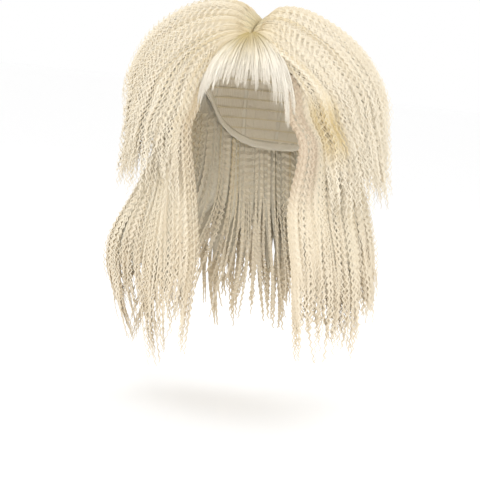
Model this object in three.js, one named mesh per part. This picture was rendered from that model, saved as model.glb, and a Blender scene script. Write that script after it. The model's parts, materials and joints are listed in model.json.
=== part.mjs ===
// A long crimped party wig in its worn shape: a cap, a smooth fringe and two layers of crimped hair
// that fall to both sides of a parting. Millimetres, +Z up, the face looks along -Y and the wearer's
// left is +X. The origin is the top of the cap's inside, where the crown of the head carries the wig.

import * as THREE from 'three';
import { mergeVertices } from 'three/addons/utils/BufferGeometryUtils.js';

// The head that the cap fits
const headWidth = 152;
const headLength = 192;
const crownHeight = 98; // from the widest level of the head up to the crown

// The cap
const capWall = 1.6;
const capColumns = 30;
const capRows = 8;

// The parting, which runs from front to back over the top of the cap
const partingOffset = -8; // towards the wearer's right
const partingFront = -46;
const partingBack = 55;
const partingHalfGap = 0.4;

// The crimped hair
const sideVolume = 79; // how far the hair stands off the cap at the widest level
const longDrop = 300; // from the widest level of the head down to the longest tips
const shortDrop = 122; // the same for the tips of the upper layer
const lowerRoot = 0.5; // share of the way down the cap where the lower layer is sewn on
const lowerRootMargin = 0.05; // the upper layer lifts off the cap this much above that root
const ridgeDepth = 9; // valleys between two locks
const tipThickness = 2.4;
const upperTipShare = 0.85; // where the tips end, from the inside (0) to the outside (1) of the layer
const lowerTipShare = 0.72;
const upperNotch = 0.3; // how much shorter the hair is between two locks
const lowerNotch = 0.16;
const setbackStart = 0.3; // share of the way down the cap where a face edge starts to turn back
const lean = 0.1; // the locks hang plumb beside a head that is tilted sideways
const cheekFlare = 12; // how far the face edge stands off beside the cheek
const shoulderSplay = 48; // how far the side locks spread where they meet the shoulder
const locksPerSection = 3;
const columnsPerLock = 4;

// The fringe
const fringeRootRadius = 9;
const fringeThickness = 7;
const fringeEdge = 63; // degrees from straight ahead, where the crimped hair begins
const fringeColumnsPerLock = 3;
const fringeNotch = 0.07;
const fringeRootLift = 0.75; // thickness at the root as a share of the fullest

// Clearances
const seatGap = 0.4; // between the cap and what is sewn on it
const sectionHalfGap = 0.35; // each section stops this far from the plane that it shares
const layerGap = 3.5; // between the lower and the upper layer

// The rim of the cap, from the forehead round to the nape. drop is the rim's distance below the
// crown as a share of crownHeight.
const rimTable = [
	{ azimuth: 0, drop: 0.5 },
	{ azimuth: 28, drop: 0.56 },
	{ azimuth: 50, drop: 0.86 },
	{ azimuth: 66, drop: 1.12 },
	{ azimuth: 82, drop: 0.9 },
	{ azimuth: 102, drop: 0.9 },
	{ azimuth: 124, drop: 1.3 },
	{ azimuth: 150, drop: 1.5 },
	{ azimuth: 180, drop: 1.54 },
];

// Stations round one side of the head, from the face edge (0) to the middle of the back (1).
// heading is in degrees from straight ahead, root a share of the parting, volume a share of
// sideVolume, long and short shares of longDrop and shortDrop, cheek a share of cheekFlare and
// shoulder a share of the splay over the shoulder.
const stationTable = [
	{ at: 0.0, heading: 63, root: 0.0, volume: 0.28, long: 0.93, short: 0.85, cheek: 1.0, shoulder: 0.0 },
	{ at: 0.15, heading: 74, root: 0.1, volume: 0.66, long: 1.0, short: 1.0, cheek: 0.5, shoulder: 0.3 },
	{ at: 0.35, heading: 86, root: 0.28, volume: 0.96, long: 0.88, short: 0.9, cheek: 0.0, shoulder: 1.0 },
	{ at: 0.5, heading: 98, root: 0.45, volume: 1.0, long: 0.8, short: 0.82, cheek: 0.0, shoulder: 1.0 },
	{ at: 0.65, heading: 116, root: 0.62, volume: 0.97, long: 0.86, short: 0.95, cheek: 0.0, shoulder: 0.6 },
	{ at: 0.8, heading: 142, root: 0.8, volume: 0.84, long: 0.93, short: 1.05, cheek: 0.0, shoulder: 0.2 },
	{ at: 1.0, heading: 180, root: 1.0, volume: 0.72, long: 0.95, short: 1.1, cheek: 0.0, shoulder: 0.0 },
];

// How far the surfaces of the two layers stand off the cap, as shares of the station's volume.
// at is 0 on the parting and 1 at the widest level; past 1 the same share of longDrop is added.
const riseTable = [
	{ at: 0.0, upperRight: 0.14, upperLeft: 0.16, lower: 0.0 },
	{ at: 0.15, upperRight: 0.4, upperLeft: 0.38, lower: 0.0 },
	{ at: 0.44, upperRight: 0.73, upperLeft: 0.58, lower: 0.04 },
	{ at: 0.68, upperRight: 0.93, upperLeft: 0.8, lower: 0.28 },
	{ at: 0.9, upperRight: 1.0, upperLeft: 0.97, lower: 0.44 },
	{ at: 1.0, upperRight: 1.0, upperLeft: 1.0, lower: 0.5 },
	{ at: 1.2, upperRight: 1.0, upperLeft: 1.0, lower: 0.58 },
	{ at: 1.45, upperRight: 0.98, upperLeft: 1.0, lower: 0.8 },
	{ at: 1.7, upperRight: 0.96, upperLeft: 1.0, lower: 0.94 },
	{ at: 2.0, upperRight: 0.96, upperLeft: 1.0, lower: 0.94 },
];

// How the hanging hair follows the body, by the share of longDrop below the widest level: the face
// edges along the cheeks and the neck as shares of cheekFlare, the sides as shares of shoulderSplay
const bodyTable = [
	{ at: 0.0, cheekRight: 0.0, cheekLeft: 0.0, shoulder: 0.0 },
	{ at: 0.1, cheekRight: 0.9, cheekLeft: 2.1, shoulder: 0.0 },
	{ at: 0.36, cheekRight: 0.25, cheekLeft: 0.6, shoulder: 0.26 },
	{ at: 0.62, cheekRight: -0.3, cheekLeft: 0.8, shoulder: 0.88 },
	{ at: 0.8, cheekRight: 0.1, cheekLeft: 0.4, shoulder: 0.82 },
	{ at: 1.0, cheekRight: 0.3, cheekLeft: 0.1, shoulder: 0.6 },
];

// The hem of the fringe, by heading from the wearer's right to the left. level is the hem's
// distance below the crown as a share of crownHeight, lift the fringe's thickness as a share of
// fringeThickness and flare how far the hem stands off the temple as a share of cheekFlare.
const fringeTable = [
	{ at: -1.0, level: 0.99, lift: 0.9, flare: 0.2 },
	{ at: -0.8, level: 0.82, lift: 1.0, flare: 0.1 },
	{ at: -0.55, level: 0.7, lift: 1.0, flare: 0.0 },
	{ at: 0.0, level: 0.64, lift: 0.8, flare: 0.0 },
	{ at: 0.55, level: 0.66, lift: 0.8, flare: 0.15 },
	{ at: 0.8, level: 0.78, lift: 1.0, flare: 0.6 },
	{ at: 1.0, level: 0.99, lift: 1.1, flare: 1.2 },
];

// Sections of each layer on one side. tips are the lengths of the locks as shares of the station's.
const upperSections = [
	{ name: 'front', from: 0.0, to: 0.25, tips: [0.9, 1.0, 0.94] },
	{ name: 'side', from: 0.25, to: 0.5, tips: [1.0, 0.88, 0.98] },
	{ name: 'rear', from: 0.5, to: 0.75, tips: [0.93, 1.05, 0.97] },
	{ name: 'back', from: 0.75, to: 1.0, tips: [1.02, 0.94, 1.0] },
];
const lowerSections = [
	{ name: 'front', from: 0.0, to: 0.25, tips: [0.93, 1.02, 0.97] },
	{ name: 'side', from: 0.25, to: 0.5, tips: [1.03, 0.95, 1.0] },
	{ name: 'rear', from: 0.5, to: 0.75, tips: [0.96, 1.03, 0.94] },
	{ name: 'back', from: 0.75, to: 1.0, tips: [1.0, 0.95, 1.01] },
];
const fringeSections = [
	{ name: 'fringe_right_sweep', from: -1.0, to: -0.38, tips: [1.0, 0.98, 1.02] },
	{ name: 'fringe_centre', from: -0.38, to: 0.4, tips: [0.98, 1.04, 0.97] },
	{ name: 'fringe_left_lock', from: 0.4, to: 1.0, tips: [1.0, 1.03, 1.0] },
];

// The two sides. fullness, reach and splay scale the volume, the lengths and the spread over the
// shoulder; setback moves the face edge of the upper layer back, so that the lower layer shows.
const sides = [
	{
		name: 'right',
		sign: -1,
		fullness: 1.17,
		reach: 1.0,
		splay: 1.0,
		setback: 0.0,
		upper: 'upperRight',
		cheek: 'cheekRight',
	},
	{
		name: 'left',
		sign: 1,
		fullness: 0.97,
		reach: 0.91,
		splay: 0.1,
		setback: 0.13,
		upper: 'upperLeft',
		cheek: 'cheekLeft',
	},
];

// Rows of the grids: shares of the way down the cap, then shares of the hanging length
const upperCapRows = [0, 0.1, 0.24, 0.42, 0.62, 0.82, 1];
const upperHangRows = [0.3, 0.6, 0.85, 1];
const lowerCapRows = [0, 0.25, 0.6, 1]; // between lowerRoot and the widest level
const lowerHangRows = [0.1, 0.22, 0.38, 0.55, 0.7, 0.86, 1];
const fringeRows = [0, 0.15, 0.32, 0.5, 0.68, 0.85, 1];

const mergeDistance = 1e-3;

const hairMaterial = new THREE.MeshStandardMaterial({ color: 0xe9dfc2, roughness: 0.6, metalness: 0 });
const fringeMaterial = new THREE.MeshStandardMaterial({ color: 0xf1ead2, roughness: 0.35, metalness: 0 });
const capMaterial = new THREE.MeshStandardMaterial({ color: 0xcdb994, roughness: 0.9, metalness: 0 });

// A smooth value from a table with rising at values
function lookUp(table, key, column, at) {
	const last = table.length - 1;
	const x = THREE.MathUtils.clamp(at, table[0][key], table[last][key]);
	let i = 0;
	while (i < last - 1 && x > table[i + 1][key]) i++;
	const low = table[i];
	const high = table[i + 1];
	const before = table[Math.max(i - 1, 0)];
	const after = table[Math.min(i + 2, last)];
	const width = high[key] - low[key];
	const share = (x - low[key]) / width;
	const slopeLow = (width * (high[column] - before[column])) / (high[key] - before[key]);
	const slopeHigh = (width * (after[column] - low[column])) / (after[key] - low[key]);
	const s2 = share * share;
	const s3 = s2 * share;
	return (
		(2 * s3 - 3 * s2 + 1) * low[column] +
		(s3 - 2 * s2 + share) * slopeLow +
		(3 * s2 - 2 * s3) * high[column] +
		(s3 - s2) * slopeHigh
	);
}

// Rounds between 0 at the edge of a lock and 1 on its middle
function lockRound(acrossShare) {
	const inLock = acrossShare * locksPerSection;
	return Math.sin(Math.PI * (inLock - Math.floor(inLock)));
}

// A chord between two rows of the grid cuts this deep into the round of the cap
function chordDepth(capShareStep) {
	const radius = Math.max(headWidth, headLength) / 2;
	const halfAngle = (Math.PI / 4) * capShareStep;
	return radius * (1 - Math.cos(halfAngle));
}

// A closed mesh between an outer and an inner grid of points, with walls along their edges.
// Its faces are turned to point outwards whichever way the grids run.
function closedGrid(outer, inner, closesRound = false) {
	const rows = outer.length;
	const columns = outer[0].length;
	const points = [...outer.flat(), ...inner.flat()];
	const index = (layer, row, column) => layer * rows * columns + row * columns + (column % columns);
	const faces = [];
	const quad = (a, b, c, d) => faces.push([a, b, c], [a, c, d]);
	const spans = closesRound ? columns : columns - 1;
	for (let r = 0; r < rows - 1; r++) {
		for (let c = 0; c < spans; c++) {
			quad(index(0, r, c), index(0, r, c + 1), index(0, r + 1, c + 1), index(0, r + 1, c));
			quad(index(1, r, c), index(1, r + 1, c), index(1, r + 1, c + 1), index(1, r, c + 1));
		}
		if (!closesRound) {
			quad(index(0, r, 0), index(0, r + 1, 0), index(1, r + 1, 0), index(1, r, 0));
			const end = columns - 1;
			quad(index(0, r, end), index(1, r, end), index(1, r + 1, end), index(0, r + 1, end));
		}
	}
	for (let c = 0; c < spans; c++) {
		if (!closesRound) quad(index(0, 0, c), index(1, 0, c), index(1, 0, c + 1), index(0, 0, c + 1));
		const end = rows - 1;
		quad(index(0, end, c), index(0, end, c + 1), index(1, end, c + 1), index(1, end, c));
	}
	return outwardGeometry(points, faces);
}

function outwardGeometry(points, faces) {
	const positions = new Float32Array(points.flatMap((p) => [p.x, p.y, p.z]));
	const loose = new THREE.BufferGeometry();
	loose.setAttribute('position', new THREE.BufferAttribute(positions, 3));
	loose.setIndex(faces.flat());
	const merged = mergeVertices(loose, mergeDistance);
	const corners = merged.index.array;
	const place = merged.attributes.position;
	const kept = [];
	const a = new THREE.Vector3();
	const b = new THREE.Vector3();
	const c = new THREE.Vector3();
	let volume = 0;
	for (let i = 0; i < corners.length; i += 3) {
		const [p, q, r] = [corners[i], corners[i + 1], corners[i + 2]];
		if (p === q || q === r || r === p) continue; // a quad that closes to a triangle at the crown
		kept.push([p, q, r]);
		a.fromBufferAttribute(place, p);
		b.fromBufferAttribute(place, q);
		c.fromBufferAttribute(place, r);
		volume += a.dot(b.cross(c));
	}
	merged.setIndex(kept.flatMap(([p, q, r]) => (volume < 0 ? [p, r, q] : [p, q, r])));
	merged.computeVertexNormals();
	return merged;
}

// The cap: a hollow dome whose rim dips to the temples and the nape and clears the ears
function capGeometry() {
	const surface = (grow, row, column) => {
		const azimuth = (360 * column) / capColumns;
		const fromFront = azimuth > 180 ? 360 - azimuth : azimuth;
		const drop = lookUp(rimTable, 'azimuth', 'drop', fromFront);
		const polar = (Math.acos(1 - drop) * row) / capRows;
		const turn = THREE.MathUtils.degToRad(azimuth);
		return new THREE.Vector3(
			(headWidth / 2 + grow) * Math.sin(polar) * Math.sin(turn),
			-(headLength / 2 + grow) * Math.sin(polar) * Math.cos(turn),
			(crownHeight + grow) * Math.cos(polar) - crownHeight
		);
	};
	const grid = (grow) =>
		Array.from({ length: capRows + 1 }, (_, row) =>
			Array.from({ length: capColumns }, (_, column) => surface(grow, row, column))
		);
	return closedGrid(grid(capWall), grid(0), true);
}

// The upright plane that a lock lies in, with the ellipse that it cuts from the outside of the cap.
// across is the direction from the face towards the back.
function flowPlane(rootX, rootY, heading, sign) {
	const turn = THREE.MathUtils.degToRad(heading);
	const along = new THREE.Vector2(sign * Math.sin(turn), -Math.cos(turn));
	const across = new THREE.Vector2(sign * Math.cos(turn), Math.sin(turn));
	const halfWidth = headWidth / 2 + capWall;
	const halfLength = headLength / 2 + capWall;
	const bend = (along.x / halfWidth) ** 2 + (along.y / halfLength) ** 2;
	const slope = (rootX * along.x) / halfWidth ** 2 + (rootY * along.y) / halfLength ** 2;
	const rest = 1 - (rootX / halfWidth) ** 2 - (rootY / halfLength) ** 2;
	const middle = -slope / bend;
	const peak = rest + slope ** 2 / bend;
	const halfSpan = Math.sqrt(peak / bend);
	return {
		root: new THREE.Vector2(rootX, rootY),
		along,
		across,
		middle,
		halfSpan,
		height: (crownHeight + capWall) * Math.sqrt(peak),
		startAngle: Math.asin(-middle / halfSpan),
	};
}

function sidePlane(side, at) {
	const rootShare = lookUp(stationTable, 'at', 'root', at);
	const rootY = THREE.MathUtils.lerp(partingFront, partingBack, rootShare);
	const rootX = partingOffset + side.sign * partingHalfGap;
	return flowPlane(rootX, rootY, lookUp(stationTable, 'at', 'heading', at), side.sign);
}

// A point offset from the cap. capShare runs from the root of the plane to the widest level, and
// below that the point hangs drop lower.
function offCap(plane, capShare, drop, offset, shift) {
	const angle = THREE.MathUtils.lerp(plane.startAngle, Math.PI / 2, capShare);
	const outward = new THREE.Vector2(
		plane.height * Math.sin(angle),
		plane.halfSpan * Math.cos(angle)
	).normalize();
	const distance = plane.middle + plane.halfSpan * Math.sin(angle) + offset * outward.x;
	return new THREE.Vector3(
		plane.root.x + distance * plane.along.x + shift * plane.across.x + lean * drop,
		plane.root.y + distance * plane.along.y + shift * plane.across.y,
		plane.height * Math.cos(angle) - crownHeight + offset * outward.y - drop
	);
}

// Grid points of a section: make(acrossShare, row) gives the plane, the place along it and the
// offsets of the outer and inner surface.
function sectionGeometry(rows, columns, make) {
	const outer = [];
	const inner = [];
	for (let r = 0; r < rows; r++) {
		outer.push([]);
		inner.push([]);
		for (let c = 0; c <= columns; c++) {
			const spot = make(c / columns, r);
			const shift = c === 0 ? sectionHalfGap : c === columns ? -sectionHalfGap : 0;
			outer[r].push(offCap(spot.plane, spot.capShare, spot.drop, spot.outer, shift));
			inner[r].push(offCap(spot.plane, spot.capShare, spot.drop, spot.inner, shift));
		}
	}
	return closedGrid(outer, inner);
}

// The length share of the lock at this place across a section. Between two locks the hair is
// shorter by the notch.
function lockLength(section, acrossShare, notch) {
	const lock = Math.min(Math.floor(acrossShare * locksPerSection), locksPerSection - 1);
	return section.tips[lock] * (1 - notch * (1 - lockRound(acrossShare)));
}

// What the side sections share: where the plane lies, how full the hair is and how it moves off
// the cheek and over the shoulder
function sideSpot(side, at, capShare, drop) {
	const below = drop / longDrop;
	const volume = sideVolume * side.fullness * lookUp(stationTable, 'at', 'volume', at);
	const body = (column) => lookUp(bodyTable, 'at', column, below);
	const cheek = lookUp(stationTable, 'at', 'cheek', at) * body(side.cheek);
	const shoulder = lookUp(stationTable, 'at', 'shoulder', at) * side.splay * body('shoulder');
	const rise = (column) => volume * lookUp(riseTable, 'at', column, capShare + below);
	return {
		plane: sidePlane(side, at),
		stand: cheekFlare * cheek + shoulderSplay * shoulder,
		upperRise: rise(side.upper),
		lowerRise: rise('lower'),
	};
}

// The valley between two locks leaves at least half of the thickness
function valley(thickness, acrossShare) {
	return Math.min(ridgeDepth, thickness / 2) * (1 - lockRound(acrossShare));
}

const widestStep = Math.max(...upperCapRows.slice(1).map((share, row) => share - upperCapRows[row]));
const seat = seatGap + chordDepth(widestStep);

function upperGeometry(side, section) {
	const rows = upperCapRows.length + upperHangRows.length;
	return sectionGeometry(rows, locksPerSection * columnsPerLock, (acrossShare, row) => {
		const onCap = row < upperCapRows.length;
		const capShare = onCap ? upperCapRows[row] : 1;
		const hangShare = onCap ? 0 : upperHangRows[row - upperCapRows.length];
		const setback = side.setback * THREE.MathUtils.smoothstep(capShare, setbackStart, 1);
		const from = Math.max(section.from, setback);
		const at = THREE.MathUtils.lerp(from, section.to, acrossShare);
		const length = side.reach * shortDrop * lookUp(stationTable, 'at', 'short', at);
		const drop = hangShare * length * lockLength(section, acrossShare, upperNotch);
		const spot = sideSpot(side, at, capShare, drop);
		const overLower = spot.lowerRise + layerGap;
		const base = capShare < lowerRoot - lowerRootMargin ? seat : Math.max(seat, overLower);
		const full = Math.max(spot.upperRise, base + tipThickness);
		const taper = hangShare ** 3;
		const tip = THREE.MathUtils.lerp(base, full, upperTipShare);
		const outer = THREE.MathUtils.lerp(full - valley(full - base, acrossShare), tip, taper);
		const inner = THREE.MathUtils.lerp(base, tip - tipThickness, taper);
		return { ...spot, capShare, drop, outer: spot.stand + outer, inner: spot.stand + inner };
	});
}

function lowerGeometry(side, section) {
	const rows = lowerCapRows.length + lowerHangRows.length;
	return sectionGeometry(rows, locksPerSection * columnsPerLock, (acrossShare, row) => {
		const onCap = row < lowerCapRows.length;
		const capShare = onCap ? THREE.MathUtils.lerp(lowerRoot, 1, lowerCapRows[row]) : 1;
		const hangShare = onCap ? 0 : lowerHangRows[row - lowerCapRows.length];
		const at = THREE.MathUtils.lerp(section.from, section.to, acrossShare);
		const length = side.reach * longDrop * lookUp(stationTable, 'at', 'long', at);
		const drop = hangShare * length * lockLength(section, acrossShare, lowerNotch);
		const spot = sideSpot(side, at, capShare, drop);
		const full = Math.max(spot.lowerRise, seat + tipThickness);
		const taper = hangShare ** 3;
		const tip = THREE.MathUtils.lerp(seat, full, lowerTipShare);
		const outer = THREE.MathUtils.lerp(full - valley(full - seat, acrossShare), tip, taper);
		const inner = THREE.MathUtils.lerp(seat, tip - tipThickness, taper);
		return { ...spot, capShare, drop, outer: spot.stand + outer, inner: spot.stand + inner };
	});
}

// The fringe fans out from the front end of the parting and follows the forehead
function fringeGeometry(section) {
	return sectionGeometry(fringeRows.length, locksPerSection * fringeColumnsPerLock, (acrossShare, row) => {
		const at = THREE.MathUtils.lerp(section.from, section.to, acrossShare);
		const turn = THREE.MathUtils.degToRad(at * fringeEdge);
		const rootX = partingOffset + fringeRootRadius * Math.sin(turn);
		const rootY = partingFront - fringeRootRadius * Math.cos(turn);
		const plane = flowPlane(rootX, rootY, at * fringeEdge, 1);
		const level = lookUp(fringeTable, 'at', 'level', at) * lockLength(section, acrossShare, fringeNotch);
		const hemHeight = crownHeight * (1 - Math.min(level, 1));
		const hemAngle = Math.acos(Math.min(hemHeight / plane.height, 1));
		const hemShare = (hemAngle - plane.startAngle) / (Math.PI / 2 - plane.startAngle);
		const along = fringeRows[row];
		const full = seat + fringeThickness * lookUp(fringeTable, 'at', 'lift', at);
		const lift = full * THREE.MathUtils.lerp(fringeRootLift, 1, Math.sin(Math.PI * along));
		const taper = along ** 3;
		const stand = cheekFlare * lookUp(fringeTable, 'at', 'flare', at) * along ** 2;
		const outer = THREE.MathUtils.lerp(lift - valley(lift - seat, acrossShare), seat + tipThickness, taper);
		return { plane, capShare: hemShare * along, drop: 0, outer: stand + outer, inner: stand + seat };
	});
}

function addMesh(group, name, geometry, material) {
	const mesh = new THREE.Mesh(geometry, material);
	mesh.name = name;
	group.add(mesh);
}

const wig = new THREE.Group();
addMesh(wig, 'cap', capGeometry(), capMaterial);
for (const section of fringeSections) addMesh(wig, section.name, fringeGeometry(section), fringeMaterial);
for (const side of sides) {
	const half = new THREE.Group();
	for (const section of upperSections) {
		addMesh(half, `upper_${section.name}_${side.name}`, upperGeometry(side, section), hairMaterial);
	}
	for (const section of lowerSections) {
		addMesh(half, `lower_${section.name}_${side.name}`, lowerGeometry(side, section), hairMaterial);
	}
	wig.add(half);
}

export default wig;
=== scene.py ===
# A long crimped party wig: crimped locks in two layers, a smooth see-through fringe and a net cap.
# Metres, in the part's own frame: +Z up, the face opening looks along -Y, the wearer's left is +X.
import json
import math

import bmesh
import bpy
import numpy as np
from mathutils import Matrix, Vector

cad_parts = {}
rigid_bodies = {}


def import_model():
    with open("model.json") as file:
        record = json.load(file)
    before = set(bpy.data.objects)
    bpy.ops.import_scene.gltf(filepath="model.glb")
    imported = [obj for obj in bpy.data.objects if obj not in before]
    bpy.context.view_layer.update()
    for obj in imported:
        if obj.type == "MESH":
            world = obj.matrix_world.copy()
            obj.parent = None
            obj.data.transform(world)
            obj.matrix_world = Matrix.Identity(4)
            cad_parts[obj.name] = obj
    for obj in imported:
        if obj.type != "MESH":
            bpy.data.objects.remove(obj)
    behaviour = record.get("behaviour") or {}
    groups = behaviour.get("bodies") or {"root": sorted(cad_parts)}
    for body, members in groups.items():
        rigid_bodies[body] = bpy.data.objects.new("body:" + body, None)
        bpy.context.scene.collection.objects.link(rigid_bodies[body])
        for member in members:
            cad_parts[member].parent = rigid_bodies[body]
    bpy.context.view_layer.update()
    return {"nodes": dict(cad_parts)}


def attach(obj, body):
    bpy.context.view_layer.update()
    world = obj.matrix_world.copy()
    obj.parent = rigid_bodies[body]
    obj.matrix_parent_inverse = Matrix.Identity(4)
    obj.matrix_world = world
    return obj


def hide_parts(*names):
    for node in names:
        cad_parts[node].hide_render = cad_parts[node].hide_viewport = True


for leftover in list(bpy.data.objects):
    bpy.data.objects.remove(leftover)
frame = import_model()
print("frame loaded")


# How the hair lies
# The same driving sizes and tables as the solids, so that every strand follows its section.
head = {"width": 0.152, "length": 0.192, "crown": 0.098, "wall": 0.0016}
parting = {"x": -0.008, "front": -0.046, "back": 0.055, "halfGap": 0.0004}
# ridge is the depth of the valleys between two locks, ridgeShare how much of it the strands follow,
# and tipShare where the tips end, from the inside (0) to the outside (1) of the layer
hang = {
    "volume": 0.079,
    "longDrop": 0.3,
    "shortDrop": 0.122,
    "capRun": 0.115,  # the length of a lock from the parting down to the widest level
    "lowerRoot": 0.5,
    "rootMargin": 0.05,
    "ridge": 0.009,
    "ridgeShare": 0.4,
    "tip": 0.0024,
    "tipShare": {"upper": 0.85, "lower": 0.72},
    "setbackFrom": 0.3,
    "lean": 0.1,
    "cheek": 0.012,
    "shoulder": 0.048,
    "seat": 0.0016,
    "layerGap": 0.0035,
    "locks": 3,
}
stations = {
    "at": [0.0, 0.15, 0.35, 0.5, 0.65, 0.8, 1.0],
    "heading": [63, 74, 86, 98, 116, 142, 180],
    "root": [0.0, 0.1, 0.28, 0.45, 0.62, 0.8, 1.0],
    "volume": [0.28, 0.66, 0.96, 1.0, 0.97, 0.84, 0.72],
    "long": [0.93, 1.0, 0.88, 0.8, 0.86, 0.93, 0.95],
    "short": [0.85, 1.0, 0.9, 0.82, 0.95, 1.05, 1.1],
    "cheek": [1.0, 0.5, 0.0, 0.0, 0.0, 0.0, 0.0],
    "shoulder": [0.0, 0.3, 1.0, 1.0, 0.6, 0.2, 0.0],
}
rises = {
    "at": [0.0, 0.15, 0.44, 0.68, 0.9, 1.0, 1.2, 1.45, 1.7, 2.0],
    "upperRight": [0.14, 0.4, 0.73, 0.93, 1.0, 1.0, 1.0, 0.98, 0.96, 0.96],
    "upperLeft": [0.16, 0.38, 0.58, 0.8, 0.97, 1.0, 1.0, 1.0, 1.0, 1.0],
    "lower": [0.0, 0.0, 0.04, 0.28, 0.44, 0.5, 0.58, 0.8, 0.94, 0.94],
}
body = {
    "at": [0.0, 0.1, 0.36, 0.62, 0.8, 1.0],
    "cheekRight": [0.0, 0.9, 0.25, -0.3, 0.1, 0.3],
    "cheekLeft": [0.0, 2.1, 0.6, 0.8, 0.4, 0.1],
    "shoulder": [0.0, 0.0, 0.26, 0.88, 0.82, 0.6],
}
# straight is the length before the first crimp, then how strong the beige painted shade is on the hair
# beside the face under the upper layer, and how strong the golden painted shadow where the layers part
sides = {
    "right": {
        "name": "Right",
        "sign": -1,
        "fullness": 1.17,
        "reach": 1.0,
        "splay": 1.0,
        "setback": 0.0,
        "straight": 0.048,
        "paintedShade": 0.3,
        "streak": 0.0,
    },
    "left": {
        "name": "Left",
        "sign": 1,
        "fullness": 0.97,
        "reach": 0.91,
        "splay": 0.1,
        "setback": 0.13,
        "straight": 0.034,
        "paintedShade": 0.9,
        "streak": 0.75,
    },
}
# For each section its start and end round the side, and the reach of its locks
sections = {
    "upper": {
        "front": (0.0, 0.25, [0.9, 1.0, 0.94]),
        "side": (0.25, 0.5, [1.0, 0.88, 0.98]),
        "rear": (0.5, 0.75, [0.93, 1.05, 0.97]),
        "back": (0.75, 1.0, [1.02, 0.94, 1.0]),
    },
    "lower": {
        "front": (0.0, 0.25, [0.93, 1.02, 0.97]),
        "side": (0.25, 0.5, [1.03, 0.95, 1.0]),
        "rear": (0.5, 0.75, [0.96, 1.03, 0.94]),
        "back": (0.75, 1.0, [1.0, 0.95, 1.01]),
    },
}
everySection = [(layer, name, part) for layer in sections for name in sides for part in sections[layer]]


def smooth(x, low, high):
    s = np.clip((x - low) / (high - low), 0, 1)
    return s * s * (3 - 2 * s)


def mix(a, b, share):
    return a + (b - a) * share


def lookUp(table, column, at):
    # A smooth curve through one column of a table
    keys, values = np.array(table["at"]), np.array(table[column], float)
    x = np.clip(at, keys[0], keys[-1])
    low = np.clip(np.searchsorted(keys, x, side="left") - 1, 0, len(keys) - 2)
    before, after = np.maximum(low - 1, 0), np.minimum(low + 2, len(keys) - 1)
    width = keys[low + 1] - keys[low]
    s = (x - keys[low]) / width
    slopeLow = width * (values[low + 1] - values[before]) / (keys[low + 1] - keys[before])
    slopeHigh = width * (values[after] - values[low]) / (keys[after] - keys[low])
    return (
        (2 * s**3 - 3 * s**2 + 1) * values[low]
        + (s**3 - 2 * s**2 + s) * slopeLow
        + (3 * s**2 - 2 * s**3) * values[low + 1]
        + (s**3 - s**2) * slopeHigh
    )


def flowPlane(rootX, rootY, heading, sign):
    # The upright plane that a lock falls in, and the ellipse that it cuts from the cap
    turn = np.radians(heading)
    along = np.stack([sign * np.sin(turn), -np.cos(turn)], -1)
    across = np.stack([sign * np.cos(turn), np.sin(turn)], -1)
    halfWidth, halfLength = head["width"] / 2 + head["wall"], head["length"] / 2 + head["wall"]
    bend = (along[..., 0] / halfWidth) ** 2 + (along[..., 1] / halfLength) ** 2
    slope = rootX * along[..., 0] / halfWidth**2 + rootY * along[..., 1] / halfLength**2
    rest = 1 - (rootX / halfWidth) ** 2 - (rootY / halfLength) ** 2
    peak = rest + slope**2 / bend
    halfSpan = np.sqrt(peak / bend)
    return {
        "root": np.stack([rootX + 0 * turn, rootY + 0 * turn], -1),
        "along": along,
        "across": across,
        "middle": -slope / bend,
        "halfSpan": halfSpan,
        "height": (head["crown"] + head["wall"]) * np.sqrt(peak),
        "start": np.arcsin(slope / bend / halfSpan),
    }


def sidePlane(side, at):
    rootY = mix(parting["front"], parting["back"], lookUp(stations, "root", at))
    rootX = parting["x"] + side["sign"] * parting["halfGap"]
    return flowPlane(rootX, rootY, lookUp(stations, "heading", at), side["sign"])


def offCap(plane, capShare, drop, offset, shift=0.0):
    # The point that stands offset off the cap, and the direction in which it stands off
    angle = mix(plane["start"], math.pi / 2, capShare)
    outX, outZ = plane["height"] * np.sin(angle), plane["halfSpan"] * np.cos(angle)
    size = np.hypot(outX, outZ)
    outX, outZ = outX / size, outZ / size
    reach = plane["middle"] + plane["halfSpan"] * np.sin(angle) + offset * outX
    flat = plane["root"] + reach[..., None] * plane["along"]
    flat = flat + np.asarray(shift)[..., None] * plane["across"]
    height = plane["height"] * np.cos(angle) - head["crown"] + offset * outZ - drop
    point = np.stack([flat[..., 0] + hang["lean"] * drop, flat[..., 1], height], -1)
    outward = np.concatenate([outX[..., None] * plane["along"], outZ[..., None]], -1)
    return point, outward


def lockRound(across, locks):
    return np.abs(np.sin(math.pi * across * locks))


def surfaces(layer, side, at, across, capShare, drop, hangShare):
    # How far the inside and the outside of a layer stand off the cap at this place
    below = drop / hang["longDrop"]
    volume = hang["volume"] * side["fullness"] * lookUp(stations, "volume", at)
    cheek = lookUp(stations, "cheek", at) * lookUp(body, "cheek" + side["name"], below)
    shoulder = side["splay"] * lookUp(stations, "shoulder", at) * lookUp(body, "shoulder", below)
    stand = hang["cheek"] * cheek + hang["shoulder"] * shoulder
    rise = volume * lookUp(rises, "lower", capShare + below)
    base = hang["seat"] + 0 * below
    if layer == "upper":
        onCap = capShare < hang["lowerRoot"] - hang["rootMargin"]
        base = np.where(onCap, hang["seat"], np.maximum(hang["seat"], rise + hang["layerGap"]))
        rise = volume * lookUp(rises, "upper" + side["name"], capShare + below)
    full = np.maximum(rise, base + hang["tip"])
    valley = np.minimum(hang["ridge"], (full - base) / 2) * hang["ridgeShare"]
    valley = valley * (1 - lockRound(across, hang["locks"]))
    taper, tip = hangShare**3, mix(base, full, hang["tipShare"][layer])
    outer = mix(full - valley, tip, taper)
    inner = mix(base, tip - hang["tip"], taper)
    return stand + inner, stand + outer


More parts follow.
